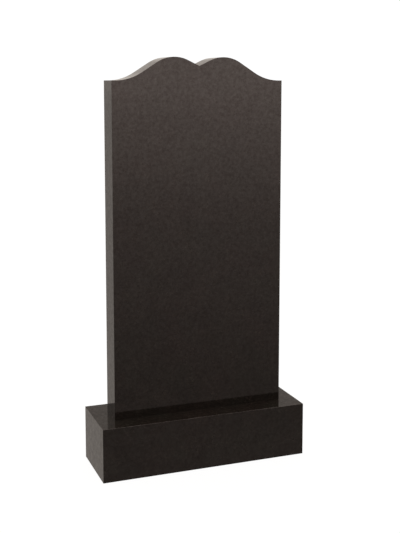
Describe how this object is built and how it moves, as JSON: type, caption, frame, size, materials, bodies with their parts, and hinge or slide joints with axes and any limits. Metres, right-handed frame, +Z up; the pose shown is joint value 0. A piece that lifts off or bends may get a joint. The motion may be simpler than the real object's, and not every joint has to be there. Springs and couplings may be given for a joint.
{
  "type": "headstone",
  "caption": "Upright headstone: a blank polished dark granite slab with a twin-hump head, standing on a plain rectangular plinth.",
  "frame": {"origin": "middle of the plinth's underside, on the ground", "axes": "+X along the width, with the left and right halves mirrored across it; +Y from the front face to the back; +Z up"},
  "size_m": [0.6, 0.2, 1.15],
  "materials": {
    "plinth_stone": "polished dark brown-black granite, with a sawn underside",
    "stele_stone": "polished dark brown-black granite, with a sawn foot"
  },
  "bodies": {
    "root": {"plinth": "plinth_stone", "stele": "stele_stone"}
  },
  "joints": []
}
